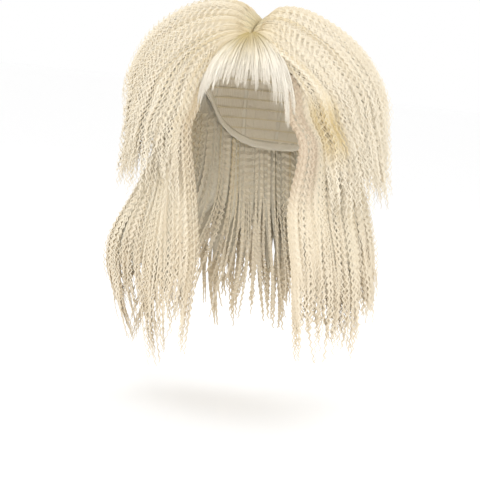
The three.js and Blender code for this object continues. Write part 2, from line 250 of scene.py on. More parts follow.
def lockReach(layer, side, section, at, across):
    # How far a lock hangs below the widest level of the head
    tips = np.array(section[2])
    tip = tips[np.clip((across * hang["locks"]).astype(int), 0, hang["locks"] - 1)]
    length = "short" if layer == "upper" else "long"
    return side["reach"] * hang[length + "Drop"] * lookUp(stations, length, at) * tip


def placeRound(layer, side, section, across, capShare):
    # The place round the side, and how far the face edge of the upper layer is set back there
    setback = 0 * capShare
    if layer == "upper":
        setback = side["setback"] * smooth(capShare, hang["setbackFrom"], 1.0)
    return mix(np.maximum(section[0], setback), section[1], across), setback


# Materials
def feed(tree, source, target):
    # source is an output to link, or the value that the input is set to
    if isinstance(source, bpy.types.NodeSocket):
        tree.links.new(source, target)
    else:
        target.default_value = source


def newMaterial(name):
    material = bpy.data.materials.new(name)
    material.use_nodes = True
    return material, material.node_tree, material.node_tree.nodes["Principled BSDF"]


def maths(tree, operation, *values):
    node = tree.nodes.new("ShaderNodeMath")
    node.operation = operation
    for socket, value in zip(node.inputs, values):
        feed(tree, value, socket)
    return node.outputs[0]


def mixColor(tree, share, first, second, blend="MIX"):
    node = tree.nodes.new("ShaderNodeMix")
    node.data_type = "RGBA"
    node.blend_type = blend
    for name, value in (("Factor", share), ("A", first), ("B", second)):
        feed(tree, value, node.inputs[name])
    return node.outputs["Result"]


def noise(tree, vector, scale, detail=2):
    node = tree.nodes.new("ShaderNodeTexNoise")
    feed(tree, vector, node.inputs["Vector"])
    feed(tree, scale, node.inputs["Scale"])
    node.inputs["Detail"].default_value = detail
    return node.outputs["Fac"]


def painted(tree, name):
    # What the attribute of this name says
    node = tree.nodes.new("ShaderNodeAttribute")
    node.attribute_name = name
    return node.outputs["Fac"]


fibreGrain = {"scale": 900, "mottleDetail": 3, "tintShift": -0.15}


def fibreGroup():
    # Colour, roughness and height of bundled synthetic fibre. The attributes are written on the
    # strands: tint goes from the dark fibre colour (0) to the light one (1), rootShade, golden painted
    # shade, runs from 0 at the tip to 1 at the root, and the third is 1 where painted shade makes it beige.
    tree = bpy.data.node_groups.new("fibre", "ShaderNodeTree")
    face = tree.interface
    for name, kind, value in (
        ("Light", "Color", (0.8, 0.7, 0.5, 1)),
        ("Dark", "Color", (0.5, 0.4, 0.2, 1)),
        ("Root", "Color", (0.4, 0.3, 0.1, 1)),
        ("Dull", "Color", (0.4, 0.3, 0.2, 1)),
        ("Mottle Scale", "Float", 60.0),
        ("Mottle", "Float", 0.3),
        ("Roughness Low", "Float", 0.35),
        ("Roughness High", "Float", 0.55),
    ):
        face.new_socket(name, in_out="INPUT", socket_type="NodeSocket" + kind).default_value = value
    for name, kind in (("Color", "Color"), ("Roughness", "Float"), ("Height", "Float")):
        face.new_socket(name, in_out="OUTPUT", socket_type="NodeSocket" + kind)
    given = tree.nodes.new("NodeGroupInput").outputs
    out = tree.nodes.new("NodeGroupOutput").inputs
    place = tree.nodes.new("ShaderNodeTexCoord").outputs["Object"]
    mottle = noise(tree, place, given["Mottle Scale"], fibreGrain["mottleDetail"])
    grain = noise(tree, place, fibreGrain["scale"])
    shade = maths(tree, "MULTIPLY_ADD", mottle, given["Mottle"], painted(tree, "tint"))
    shade = maths(tree, "ADD", shade, fibreGrain["tintShift"])
    shade.node.use_clamp = True
    color = mixColor(tree, shade, given["Dark"], given["Light"])
    color = mixColor(tree, painted(tree, "rootShade"), color, given["Root"])
    color = mixColor(tree, painted(tree, "paintedShade"), color, given["Dull"])
    rough = tree.nodes.new("ShaderNodeMapRange")
    feed(tree, grain, rough.inputs["Value"])
    feed(tree, given["Roughness Low"], rough.inputs["To Min"])
    feed(tree, given["Roughness High"], rough.inputs["To Max"])
    feed(tree, color, out["Color"])
    feed(tree, rough.outputs["Result"], out["Roughness"])
    feed(tree, grain, out["Height"])
    return tree


combedHair = {
    "waveLength": 0.0082,
    "waveHeight": 0.35,
    "streakScale": 700.0,
    "streakStretch": 0.06,  # how much slower the streaks change along the hair than across it
    "streakHeight": 0.8,
    "streakShade": 0.7,
    "shadeFrom": 0.35,
    "shadeTo": 0.6,
    "darkest": 0.78,
    "bendScale": 90,
    "bend": 14.0,  # how far the noise moves the waves, in radians
}


def reliefGroup():
    # The crimps and the fine streaks of hair that is combed over a surface. The surface carries run
    # and aside, in metres: along the hair and across it.
    tree = bpy.data.node_groups.new("crimpRelief", "ShaderNodeTree")
    face = tree.interface
    for name, key in (("Wave Length", "waveLength"), ("Streak Scale", "streakScale")):
        socket = face.new_socket(name, in_out="INPUT", socket_type="NodeSocketFloat")
        socket.default_value = combedHair[key]
    for name in ("Streaks", "Height"):
        face.new_socket(name, in_out="OUTPUT", socket_type="NodeSocketFloat")
    given = tree.nodes.new("NodeGroupInput").outputs
    out = tree.nodes.new("NodeGroupOutput").inputs
    run = painted(tree, "run")
    flow = tree.nodes.new("ShaderNodeCombineXYZ")
    feed(tree, painted(tree, "aside"), flow.inputs["X"])
    feed(tree, maths(tree, "MULTIPLY", run, combedHair["streakStretch"]), flow.inputs["Y"])
    streaks = noise(tree, flow.outputs["Vector"], given["Streak Scale"], 3)
    bend = noise(tree, flow.outputs["Vector"], combedHair["bendScale"])
    turns = maths(tree, "DIVIDE", maths(tree, "MULTIPLY", run, 2 * math.pi), given["Wave Length"])
    bent = maths(tree, "ADD", turns, maths(tree, "MULTIPLY", bend, combedHair["bend"]))
    relief = maths(tree, "MULTIPLY", streaks, combedHair["streakHeight"])
    height = maths(tree, "MULTIPLY_ADD", maths(tree, "SINE", bent), combedHair["waveHeight"], relief)
    feed(tree, streaks, out["Streaks"])
    feed(tree, height, out["Height"])
    return tree


fibre = fibreGroup()
relief = reliefGroup()


def streakShade(tree, streaks, color):
    # The streaks darken the colour: painted shade in the low streaks of the relief
    spread = tree.nodes.new("ShaderNodeMapRange")
    spread.inputs["From Min"].default_value = combedHair["shadeFrom"]
    spread.inputs["From Max"].default_value = combedHair["shadeTo"]
    spread.inputs["To Min"].default_value = combedHair["darkest"]
    feed(tree, streaks, spread.inputs["Value"])
    return mixColor(tree, combedHair["streakShade"], color, spread.outputs["Result"], "MULTIPLY")


def hairMaterial(name, look):
    material, tree, shader = newMaterial(name)
    strand = tree.nodes.new("ShaderNodeGroup")
    strand.node_tree = fibre
    for socket, value in look["fibre"].items():
        strand.inputs[socket].default_value = value
    color, height = strand.outputs["Color"], strand.outputs["Height"]
    if look.get("combed"):
        combed = tree.nodes.new("ShaderNodeGroup")
        combed.node_tree = relief
        color, height = streakShade(tree, combed.outputs["Streaks"], color), combed.outputs["Height"]
    bump = tree.nodes.new("ShaderNodeBump")
    bump.inputs["Strength"].default_value = look["bump"]
    bump.inputs["Distance"].default_value = look["relief"]
    feed(tree, height, bump.inputs["Height"])
    feed(tree, color, shader.inputs["Base Color"])
    feed(tree, strand.outputs["Roughness"], shader.inputs["Roughness"])
    feed(tree, bump.outputs["Normal"], shader.inputs["Normal"])
    shader.inputs["Specular IOR Level"].default_value = look["gloss"]
    shader.inputs["Sheen Weight"].default_value = look["sheen"]
    shader.inputs["Sheen Roughness"].default_value = 0.5
    return material


hairLooks = {
    "crimpedStrands": {
        "fibre": {
            "Light": (0.935, 0.9, 0.835, 1),
            "Dark": (0.82, 0.74, 0.59, 1),
            "Root": (0.6, 0.46, 0.2, 1),
            "Dull": (0.6, 0.485, 0.355, 1),
            "Mottle Scale": 30.0,
            "Mottle": 0.35,
            "Roughness Low": 0.42,
            "Roughness High": 0.6,
        },
        "gloss": 0.4,
        "sheen": 0.1,
        "bump": 0.2,
        "relief": 0.0003,
    },
    # The hair below the strands is a little lighter than the strands: painted light that lifts the shade
    # under them
    "innerHair": {
        "fibre": {
            "Light": (0.94, 0.9, 0.81, 1),
            "Dark": (0.85, 0.77, 0.6, 1),
            "Root": (0.74, 0.62, 0.36, 1),
            "Dull": (0.6, 0.485, 0.355, 1),
            "Mottle Scale": 40.0,
            "Mottle": 0.4,
            "Roughness Low": 0.55,
            "Roughness High": 0.8,
        },
        "gloss": 0.2,
        "sheen": 0.1,
        "bump": 0.8,
        "relief": 0.0016,
        "combed": True,
    },
    # The fringe is painted lighter than the crimped hair of the same fibre: painted light for its bright
    # sheen
    "fringeStrands": {
        "fibre": {
            "Light": (1.0, 0.98, 0.93, 1),
            "Dark": (0.98, 0.92, 0.8, 1),
            "Root": (0.48, 0.355, 0.1, 1),
            "Mottle Scale": 50.0,
            "Mottle": 0.3,
            "Roughness Low": 0.24,
            "Roughness High": 0.38,
        },
        "gloss": 1.0,
        "sheen": 0.0,
        "bump": 0.05,
        "relief": 0.0003,
    },
}
crimpedLook = hairMaterial("crimpedStrands", hairLooks["crimpedStrands"])
innerLook = hairMaterial("innerHair", hairLooks["innerHair"])
fringeLook = hairMaterial("fringeStrands", hairLooks["fringeStrands"])


# Strands
threeSided = {"width": 0.58, "height": 0.67}  # a three-sided tube of radius 1 is 1.73 wide and 1.5 high


def strandTree(name, values, material):
    # Guide lines in, closed strands out. The guides carry crimpSide (which way and how strongly
    # they kink), width and pitch, a factor on the length of the wave.
    tree = bpy.data.node_groups.new(name, "GeometryNodeTree")
    face = tree.interface
    face.new_socket("Geometry", in_out="INPUT", socket_type="NodeSocketGeometry")
    for label, value in values.items():
        face.new_socket(label, in_out="INPUT", socket_type="NodeSocketFloat").default_value = value
    face.new_socket("Geometry", in_out="OUTPUT", socket_type="NodeSocketGeometry")
    nodes = tree.nodes
    given, out = nodes.new("NodeGroupInput").outputs, nodes.new("NodeGroupOutput")

    def named(attribute, kind="FLOAT"):
        node = nodes.new("GeometryNodeInputNamedAttribute")
        node.data_type = kind
        node.inputs["Name"].default_value = attribute
        return node.outputs["Attribute"]

    def step(kind, **sources):
        # A node whose inputs are named without their blanks
        node = nodes.new(kind)
        for socket in node.inputs:
            source = sources.get(socket.name.replace(" ", ""))
            if source is not None:
                feed(tree, source, socket)
        return node

    curves = step("GeometryNodeMeshToCurve", Mesh=given["Geometry"]).outputs["Curve"]
    half = maths(tree, "MULTIPLY", given["Wave Length"], 0.5)
    resample = nodes.new("GeometryNodeResampleCurve")
    resample.mode = "LENGTH"
    feed(tree, curves, resample.inputs["Curve"])
    feed(tree, maths(tree, "MULTIPLY", half, named("pitch")), resample.inputs["Length"])

    index = nodes.new("GeometryNodeSplineParameter").outputs["Index"]
    flip = maths(tree, "SUBTRACT", maths(tree, "MODULO", index, 2), 0.5)
    kink = nodes.new("ShaderNodeVectorMath")
    kink.operation = "SCALE"
    feed(tree, named("crimpSide", "FLOAT_VECTOR"), kink.inputs[0])
    feed(tree, maths(tree, "MULTIPLY", flip, given["Wave Depth"]), kink.inputs["Scale"])
    place = step(
        "GeometryNodeSetPosition", Geometry=resample.outputs["Curve"], Offset=kink.outputs["Vector"]
    )
    normal = nodes.new("GeometryNodeSetCurveNormal")
    normal.mode = "FREE"
    feed(tree, place.outputs["Geometry"], normal.inputs["Curve"])
    feed(tree, named("outward", "FLOAT_VECTOR"), normal.inputs["Normal"])
    radius = step("GeometryNodeSetCurveRadius", Curve=normal.outputs["Curve"], Radius=named("width"))

    profile = nodes.new("GeometryNodeCurvePrimitiveCircle")
    profile.inputs["Resolution"].default_value = 3
    profile.inputs["Radius"].default_value = 1.0
    high = maths(tree, "MULTIPLY", given["Strand Height"], threeSided["height"])
    wide = maths(tree, "MULTIPLY", given["Strand Width"], threeSided["width"])
    size = step("ShaderNodeCombineXYZ", X=high, Y=wide, Z=1.0)
    flat = step("GeometryNodeTransform", Geometry=profile.outputs["Curve"], Scale=size.outputs["Vector"])

    tubes = nodes.new("GeometryNodeCurveToMesh")
    tubes.inputs["Fill Caps"].default_value = True
    feed(tree, radius.outputs["Curve"], tubes.inputs["Curve"])
    feed(tree, flat.outputs["Geometry"], tubes.inputs["Profile Curve"])
    feed(tree, named("width"), tubes.inputs["Scale"])
    whole = step("GeometryNodeRealizeInstances", Geometry=tubes.outputs["Mesh"])
    paint = step("GeometryNodeSetMaterial", Geometry=whole.outputs["Geometry"], Material=material)
    feed(tree, paint.outputs["Geometry"], out.inputs["Geometry"])
    return tree


def guideMesh(name, points, attributes):
    # points is strands x steps x 3. Each strand becomes a chain of edges.
    count, steps = points.shape[:2]
    first = np.arange(count * steps).reshape(count, steps)
    edges = np.stack([first[:, :-1], first[:, 1:]], -1).reshape(-1, 2)
    mesh = bpy.data.meshes.new(name)
    mesh.from_pydata(points.reshape(-1, 3).tolist(), edges.tolist(), [])
    for label, values in attributes.items():
        kind = "FLOAT_VECTOR" if values.ndim == 3 else "FLOAT"
        field = "vector" if values.ndim == 3 else "value"
        data = mesh.attributes.new(label, kind, "POINT").data
        data.foreach_set(field, np.ascontiguousarray(values, dtype=np.float32).ravel())
    return mesh


def growStrands(name, points, attributes, tree, values):
    # Runs the strand tree over the guides and keeps the result as a plain mesh
    guides = bpy.data.objects.new(name + "_guides", guideMesh(name + "_guides", points, attributes))
    bpy.context.scene.collection.objects.link(guides)
    modifier = guides.modifiers.new("strands", "NODES")
    modifier.node_group = tree
    sockets = {item.name: item.identifier for item in tree.interface.items_tree if item.in_out == "INPUT"}
    for label, value in values.items():
        modifier[sockets[label]] = value
    guides.update_tag()
    evaluated = guides.evaluated_get(bpy.context.evaluated_depsgraph_get())
    mesh = bpy.data.meshes.new_from_object(evaluated)
    mesh.name = name
    bpy.data.objects.remove(guides)
    for label in ("crimpSide", "outward", "width", "pitch"):
        mesh.attributes.remove(mesh.attributes[label])
    mesh.polygons.foreach_set("use_smooth", [values["Wave Depth"] == 0] * len(mesh.polygons))
    return mesh


def triangleCount(mesh):
    return sum(len(p.vertices) - 2 for p in mesh.polygons)


def addPiece(name, mesh, slotName, *nodes):
    piece = bpy.data.objects.new(name, mesh)
    bpy.context.scene.collection.objects.link(piece)
    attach(piece, "root")
    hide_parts(*nodes)
    return piece


# Crimped strands
# Lengths are in metres, and a pair holds the least and the most that is drawn.
crimpedHair = {
    "seed": 11,
    "bundles": 24,
    "patches": 4,  # groups of bundles that were crimped together
    "strands": {
        "upper": {"front": 5, "side": 6, "rear": 5, "back": 4},
        "lower": {"front": 7, "side": 6, "rear": 4, "back": 4},
    },
    "guideSteps": 30,
    "waveLength": 0.0084,
    "waveDepth": 0.0028,
    "strandWidth": 0.0022,
    "strandHeight": 0.0011,
    "bundleRound": 0.0008,
    "depth": 0.002,
    "lift": 0.0008,
    "sink": 0.001,  # the crimps stand out by this much again
    "reach": (0.9, 1.08),
    "ragged": {"upper": 0.5, "lower": 0.22},
    "raggedPower": {"upper": 1.5, "lower": 2.2},
    "wander": {"upper": 0.9, "lower": 1.3},
    "wanderTurns": (0.8, 1.5),
    "nudge": 0.35,
    "aside": 0.25,
    "gather": (1.5, 0.45),  # the width of a bundle at its root and at its tips
    "stray": 0.016,
    "insideShare": 0.22,
    "insideOffset": 0.0005,
    "edgeShare": {"upper": 0.4, "lower": 0.25},  # of a front section, on the wall beside the face
    "edgeDepth": {"upper": (-0.4, 0.97), "lower": (0.03, 1.12)},
    "edgeWidth": 0.04,
    "edgeShift": 0.004,
    "rootLift": 0.35,
    "tipLift": 0.012,  # how far the crimped ends stand off
    "patchPitch": (0.94, 1.1),
    "bundlePitch": (0.985, 1.015),
    "pitchSpread": {"upper": (0.995, 1.005), "lower": (0.985, 1.015)},
    "patchTurn": 0.5,
    "bundleTurn": 0.15,
    "strandTurn": 0.25,
    "tipTurn": math.pi / 3,  # the lower tips kink sideways
    "strength": (0.7, 1.15),
    "width": (0.7, 1.25),
    "tipWidth": 0.45,
    "lowerWidth": 1.35,
    "sweep": 1.0,  # how much nearer to the face the upper locks start than they end
    # The share of the upper strands whose ends stand off higher up
    "cutShort": {"front": 0.32, "side": 0.55, "rear": 0.4, "back": 0.3},
}
# The thin strands that stand off the outside
looseHair = {
    "seed": 23,
    "every": {"upper": 1, "lower": 3},  # one on every bundle, and on every third one
    "standOff": 0.008,
    "tipLift": 0.007,
    "stray": 0.065,
    "strandWidth": 0.0008,
    "strandHeight": 0.0006,
}
# What the strands give to the fibre colours. A pair named after a place is where a shade changes.
# With no tint every strand has the dark one of the two fibre colours, and the mottle alone varies it.
crimpedTints = {
    "tint": 0.0,
    "bundleSpread": 0.0,
    "strandSpread": 0.0,
    # Painted shade: golden near the roots, further down on a few locks, a little all along the lower layer
    # and where the two layers part, and a duller beige at the lower tips and beside the face
    "root": 0.9,
    "rootFade": 0.026,
    "lowerRoot": 0.12,
    "goldenShare": 0.2,  # a few locks keep the golden painted shade further down
    "golden": 0.5,
    "goldenFade": (0.03, 0.2),
    "tipDull": 0.28,
    "beside": (0.6, 1.2),
    "besideDrop": (0.05, 0.14),
    "besideAcross": (0.25, 0.45),
    "streak": (0.5, 1.2),
    "streakStart": (0.1, 0.12),
    "streakEnd": (0.142, 0.168),
    "streakDrop": (0.025, 0.06),
}
# Where the lower strands come out from under the upper ones: on the cap, and then below it
lowerStart = {"front": (0.08, 0.5), "side": (0.9, 1.3), "rear": (0.9, 1.3), "back": (0.9, 1.3)}
crimpInputs = {
    "Wave Length": crimpedHair["waveLength"],
    "Wave Depth": crimpedHair["waveDepth"],
    "Strand Width": crimpedHair["strandWidth"],
    "Strand Height": crimpedHair["strandHeight"],
}
looseInputs = dict(crimpInputs)
looseInputs["Strand Width"] = looseHair["strandWidth"]
looseInputs["Strand Height"] = looseHair["strandHeight"]
crimpTree = strandTree("crimpedStrands", crimpInputs, crimpedLook)


def alongLine(points):
    # Distance from the root along each strand
    steps = np.linalg.norm(np.diff(points, axis=1), axis=2)
    return np.concatenate([np.zeros((len(points), 1)), np.cumsum(steps, axis=1)], axis=1)


def spread(values, bundle):
    return values[bundle][:, None]


def drawBundles(hair, bundle, rng):
    # What the strands of a bundle share, and the patch of each bundle
    count, patches = hair["bundles"], hair["patches"]
    patch = (np.arange(count) * patches) // count
    drawn = {
        "reach": rng.uniform(*hair["reach"], count),
        "phase": rng.uniform(0, 2 * math.pi, count),
        "turns": rng.uniform(*hair["wanderTurns"], count),
        "lift": rng.normal(0, hair["lift"], count),
        "tint": rng.uniform(-crimpedTints["bundleSpread"], crimpedTints["bundleSpread"], count),
    }
    patchPitch = rng.uniform(*hair["patchPitch"], patches)
    patchTurn = rng.uniform(-hair["patchTurn"], hair["patchTurn"], patches)
    drawn["pitch"] = patchPitch[patch] * rng.uniform(*hair["bundlePitch"], count)
    drawn["turn"] = patchTurn[patch] + rng.normal(0, hair["bundleTurn"], count)
    drawn["nudge"] = rng.uniform(-hair["nudge"], hair["nudge"], count)
    return {name: spread(values, bundle) for name, values in drawn.items()}, patch


def strandTints(layer, side, part, bundle, bundleTint, place, rng):
    # place holds where the points of the strands are
    look, count = crimpedTints, len(bundle)
    t, away, drop = place["t"], place["away"], place["drop"]
    isGolden = rng.uniform(0, 1, crimpedHair["bundles"]) < look["goldenShare"]
    golden = spread(isGolden, bundle) * look["golden"]
    tint = look["tint"] + bundleTint + rng.normal(0, look["strandSpread"], count)[:, None] + 0 * t
    paintedShade = 0 * away
    if layer == "upper":
        # Golden painted shade near the roots
        rootShade = np.exp(-away / look["rootFade"]) * look["root"]
    else:
        # The lower layer gets painted shade: a little golden all along, and a duller beige towards the tips
        paintedShade = paintedShade + look["tipDull"] * smooth(t, 0.45, 0.9)
        rootShade = look["lowerRoot"] + 0 * away
    rootShade = np.maximum(rootShade, golden * (1 - smooth(away, *look["goldenFade"])))
    if layer == "lower" and part == "front":
        # The hair beside the face lies below the rest, in a painted shade of duller beige
        beside = 1 - smooth(drop, *look["besideDrop"])
        beside = beside * (1 - smooth(place["across"], *look["besideAcross"]))
        beside = side["paintedShade"] * beside * rng.uniform(*look["beside"], count)[:, None]
        paintedShade = np.maximum(paintedShade, beside)
    if part == "front":
        # Golden painted shadow where the two layers part, under the edge of the upper layer
        at = place["at"]
        streak = (1 - smooth(at, *look["streakEnd"])) * smooth(at, *look["streakStart"])
        streak = streak * smooth(place["capShare"], 0.8, 1.0) * (1 - smooth(drop, *look["streakDrop"]))
        streak = side["streak"] * streak * rng.uniform(*look["streak"], count)[:, None]
        rootShade = np.maximum(rootShade, streak)
    return {"tint": np.clip(tint, 0, 1), "rootShade": rootShade, "paintedShade": np.clip(paintedShade, 0, 1)}


def crimpedGuides(layer, sideName, part, rng, loose=False):
    side, section, hair = sides[sideName], sections[layer][part], crimpedHair
    upper, bundles, capRun = layer == "upper", hair["bundles"], hang["capRun"]
    perBundle = 1 if loose else hair["strands"][layer][part]
    bundle = np.repeat(np.arange(bundles), perBundle)[:: looseHair["every"][layer] if loose else 1]
    count = len(bundle)
    t = np.linspace(0, 1, hair["guideSteps"])[None, :]

    def each(low=0, high=1):
        return rng.uniform(low, high, count)[:, None]

    shared, patch = drawBundles(hair, bundle, rng)

    # The place of each strand in its bundle
    rank = (np.arange(count) % perBundle + 0.5) / perBundle
    aside = (2 * rank - 1)[:, None] + each(-hair["aside"], hair["aside"])
    deep = each() ** 1.5
    fall = 1 - hair["ragged"][layer] * each() ** hair["raggedPower"][layer]
    gather = mix(*hair["gather"], smooth(t, 0.72, 1.0))
    drift = hair["wander"][layer] * np.sin(2 * math.pi * shared["turns"] * t + shared["phase"])
    drift = drift * smooth(t, 0.1, 0.8)
    centre = np.clip((bundle[:, None] + 0.5 + shared["nudge"]) / bundles, 0.02, 0.98)
    stray = rng.normal(0, (looseHair if loose else hair)["stray"], count)[:, None] * t
    across = np.clip(centre + (0.5 * aside * gather + drift * 0.7) / bundles + stray, 0.003, 0.997)
    onEdge = each() < (hair["edgeShare"][layer] if part == "front" and not loose else 0)
    edgeDepth = each(*hair["edgeDepth"][layer])
    across = np.where(onEdge, each(0, hair["edgeWidth"]), across)
    shift = np.where(onEdge, -hair["edgeShift"] * each(), 0) * smooth(t, 0.1, 0.3)

    # Its way over the cap and down
    length = lockReach(layer, side, section, mix(section[0], section[1], centre), centre)
    length = length * shared["reach"] * fall
    if upper:
        # Some of the hair is cut shorter, and its ends stand off all over the side
        isCut = each() < hair["cutShort"][part]
        length = length - (capRun * 0.5 + length * 0.5) * isCut * each()
        start, hidden = each(0, 0.004), 0.0
    else:
        starts = rng.uniform(*lowerStart[part], hair["patches"])
        comesOut = spread(starts[patch], bundle) + each(0, 0.01)
        start, hidden = np.minimum(comesOut, 1), np.maximum(comesOut - 1, 0) * capRun
    capPart = capRun * (1 - start)
    run = t * (capPart + length - hidden)
    capShare = np.clip(start + run / capRun, 0, 1)
    drop = np.clip(run - capPart, 0, None) + hidden
    hangShare = drop / np.maximum(length, drop.max(axis=1, keepdims=True) + 0.001)
    at, setback = placeRound(layer, side, section, across, capShare)
    if upper:
        forward = hair["sweep"] * at * (1 - at) ** 2
        at = np.maximum(at - forward * (1 - smooth(run, 0.1 * capRun, 1.7 * capRun)), setback)

    # How far it stands off the cap
    inner, outer = surfaces(layer, side, at, across, capShare, drop, hangShare)
    roundOff = hair["bundleRound"] * (1 - np.sqrt(np.clip(1 - (aside * 0.95) ** 2, 0, 1)))
    buried = deep * np.minimum(hair["depth"], (outer - inner) * 0.5)
    sunk = hair["sink"] + roundOff + buried - shared["lift"] * smooth(t, 0.1, 0.5)
    offset = np.where(onEdge, mix(inner, outer, edgeDepth), outer - sunk)
    if not upper:
        inside = each() < hair["insideShare"]
        offset = np.where(inside & ~onEdge, inner + hair["insideOffset"] + sunk * 0.5, offset)
    if loose:
        offset = outer + looseHair["standOff"] * each(0.1, 1) * smooth(t, 0.15, 0.8)
    rootLift = mix(hair["rootLift"], 1.0, smooth(capShare, 0.0, 0.12)) if upper else 1.0
    tipLift = (looseHair if loose else hair)["tipLift"] * each() ** 2 * smooth(t, 0.75, 1.0)
    offset = mix(0.001, offset, rootLift) + tipLift
    plane = sidePlane(side, at)
    points, outward = offCap(plane, capShare, drop, offset, shift)
    sideways = np.concatenate([plane["across"], 0 * plane["across"][..., :1]], -1)

    # Its crimps and its width
    away = alongLine(points)
    strength = smooth(away, side["straight"] * 0.5, side["straight"] * 1.4) if upper else 1 + 0 * away
    strength = strength * each(*hair["strength"])
    turn = shared["turn"] + rng.normal(0, hair["strandTurn"], count)[:, None]
    turn = mix(turn, hair["tipTurn"], 0 if upper else 0.8 * smooth(t, 0.75, 0.9))
    crimp = np.cos(turn)[..., None] * outward + np.sin(turn)[..., None] * sideways
    width = each(*hair["width"]) * mix(1.0, hair["tipWidth"], smooth(t, 0.88, 1.0))
    if not upper:
        width = width * mix(1.0, hair["lowerWidth"], smooth(t, 0.5, 0.8))
    place = {"t": t, "away": away, "drop": drop, "across": across, "at": at, "capShare": capShare}
    attributes = strandTints(layer, side, part, bundle, shared["tint"], place, rng)
    pitch = shared["pitch"] * each(*hair["pitchSpread"][layer]) * np.ones_like(away)
    attributes.update(
        {"crimpSide": crimp * strength[..., None], "outward": outward, "width": width, "pitch": pitch}
    )
    return points, attributes


rng = np.random.default_rng(crimpedHair["seed"])
looseRng = np.random.default_rng(looseHair["seed"])
triangles = looseTriangles = 0
for layer, sideName, part in everySection:
    label = layer + "_" + part + "_" + sideName
    points, attributes = crimpedGuides(layer, sideName, part, rng)
    mesh = growStrands(label + "_strands", points, attributes, crimpTree, crimpInputs)
    addPiece(label + "_strands", mesh, "crimped_hair", label)
    triangles += triangleCount(mesh)
    points, attributes = crimpedGuides(layer, sideName, part, looseRng, loose=True)
    mesh = growStrands(label + "_loose", points, attributes, crimpTree, looseInputs)
    addPiece(label + "_loose", mesh, "crimped_hair", label)
    looseTriangles += triangleCount(mesh)
print("crimped strands grown", triangles, "loose", looseTriangles)


# The hair below the strands: one closed shell for each section
innerShell = {
    "columns": 24,
    "rows": 26,
    "reach": {"upper": 0.42, "lower": 0.76},  # share of the section's length
    "notch": 0.25,
    "below": {"upper": 0.0038, "lower": 0.0024},  # how far it lies below the section's outside
    "above": 0.002,
    "tipBelow": 0.006,
    "thin": 0.002,
    "faceEdge": 0.05,
    "edge": 0.01,
    # lighter than the strands: painted light that lifts the shade under them
    "tint": 0.45,
    # Golden painted shade near the roots of the upper shell, and a little all over the lower one
    "rootFade": 0.03,
    "lowerRoot": 0.2,
}


def closedShell(name, outer, inner, attributes, material):
    # outer and inner are rows x columns x 3; the four edges are walled up
    rows, columns = outer.shape[:2]
    index = np.arange(2 * rows * columns).reshape(2, rows, columns)
    faces = []

    def quads(grid, turned):
        corners = [grid[:-1, :-1], grid[:-1, 1:], grid[1:, 1:], grid[1:, :-1]]
        faces.extend(np.stack(corners[::-1] if turned else corners, -1).reshape(-1, 4).tolist())

    quads(index[0], False)
    quads(index[1], True)
    quads(index[:, 0, :], True)
    quads(index[:, -1, :], False)
    quads(index[:, :, 0], False)
    quads(index[:, :, -1], True)
    mesh = bpy.data.meshes.new(name)
    mesh.from_pydata(np.concatenate([outer.reshape(-1, 3), inner.reshape(-1, 3)]).tolist(), [], faces)
    for label, values in attributes.items():
        both = np.concatenate([values.ravel(), values.ravel()]).astype(np.float32)
        mesh.attributes.new(label, "FLOAT", "POINT").data.foreach_set("value", both)
    work = bmesh.new()
    work.from_mesh(mesh)
    bmesh.ops.recalc_face_normals(work, faces=work.faces)
    if work.calc_volume(signed=True) < 0:
        bmesh.ops.reverse_faces(work, faces=work.faces)
    work.to_mesh(mesh)
    work.free()
    mesh.materials.append(material)
    mesh.polygons.foreach_set("use_smooth", [True] * len(mesh.polygons))
    return mesh


def sectionShell(layer, sideName, part):
    side, section, shell, capRun = sides[sideName], sections[layer][part], innerShell, hang["capRun"]
    firstAcross = shell["faceEdge"] if part == "front" else shell["edge"]
    across = np.linspace(firstAcross, 1 - shell["edge"], shell["columns"] + 1)[None, :]
    t = np.linspace(0, 1, shell["rows"])[:, None]
    length = lockReach(layer, side, section, mix(section[0], section[1], across), across)
    notch = shell["notch"] * (1 - lockRound(across, 2 * hang["locks"]))
    length = length * shell["reach"][layer] * (1 - notch)
    capStart = 0.0 if layer == "upper" else hang["lowerRoot"]
    capPart = capRun * (1 - capStart)
    run = t * (capPart + length)
    capShare = np.clip(capStart + run / capRun, 0, 1)
    drop = np.clip(run - capPart, 0, None)
    at, _ = placeRound(layer, side, section, across, capShare)
    towardsTip = drop / length * shell["reach"][layer]
    inner, outer = surfaces(layer, side, at, across, capShare, drop, towardsTip)
    below = np.minimum(shell["below"][layer], (outer - inner) * 0.45)
    inner = inner + np.minimum(shell["above"], (outer - inner) * 0.2)
    outer = outer - below - smooth(t, 0.8, 1.0) * np.minimum(shell["tipBelow"], (outer - inner) * 0.2)
    inner = np.maximum(inner, mix(inner, outer - shell["thin"], smooth(t, 0.75, 1.0)))
    plane = sidePlane(side, at)
    outside, _ = offCap(plane, capShare, drop, outer)
    inside, _ = offCap(plane, capShare, drop, inner)
    away = run + 0 * across
    # Golden painted shade near the roots, and a little all over the lower shell
    rootShade = np.exp(-away / shell["rootFade"]) if layer == "upper" else shell["lowerRoot"] + 0 * away
    width = np.linalg.norm(np.diff(outside, axis=1), axis=2).max(axis=0)
    aside = np.concatenate([[0], np.cumsum(width)])[None, :] + 0 * away
    attributes = {"tint": shell["tint"] + 0 * away, "rootShade": rootShade, "run": away, "aside": aside}
    name = layer + "_" + part + "_" + sideName + "_inner"
    return closedShell(name, outside, inside, attributes, innerLook)


shellTriangles = 0
for layer, sideName, part in everySection:
    mesh = sectionShell(layer, sideName, part)
    shellTriangles += triangleCount(mesh)
    addPiece(mesh.name, mesh, "crimped_hair", layer + "_" + part + "_" + sideName)
print("hair below the strands laid", shellTriangles)


